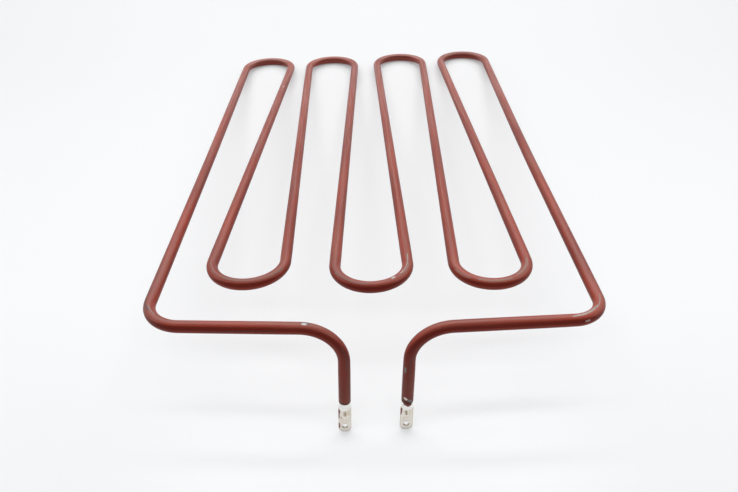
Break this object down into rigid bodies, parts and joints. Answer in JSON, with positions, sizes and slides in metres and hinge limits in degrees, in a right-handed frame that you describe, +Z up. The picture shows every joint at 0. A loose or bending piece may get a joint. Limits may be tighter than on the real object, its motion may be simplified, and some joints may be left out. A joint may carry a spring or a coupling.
{
  "type": "tubular heating element",
  "caption": "Coated tubular heating element bent into a flat serpentine, with two bent-down legs that end in flat screw terminals.",
  "frame": {"origin": "bottom centre of the whole element, on the surface it stands on", "axes": "+X across the legs, left leg on -X; +Y from the terminals towards the far bends; +Z up"},
  "size_m": [0.31, 0.5406, 0.0991],
  "materials": {
    "coated_sheath": "satin red-brown stoved coating on a steel tube, with scuffs",
    "magnesia": "compacted off-white powder",
    "resistance_wire": "drawn nickel-chromium wire",
    "pin_steel": "drawn nickel-plated steel pin",
    "seal_rubber": "matt silicone rubber",
    "bush_ceramic": "unglazed white ceramic",
    "tab_nickel": "dull nickel plate with a weld tint and coating overspray"
  },
  "bodies": {
    "root": {"sheath": "coated_sheath", "magnesia_fill": "magnesia", "heating_coil": "resistance_wire", "cold_pin_left": "pin_steel", "cold_pin_right": "pin_steel", "end_seal_left": "seal_rubber", "end_seal_right": "seal_rubber", "end_bush_left": "bush_ceramic", "end_bush_right": "bush_ceramic", "terminal_tab_left": "tab_nickel", "terminal_tab_right": "tab_nickel"}
  },
  "joints": []
}
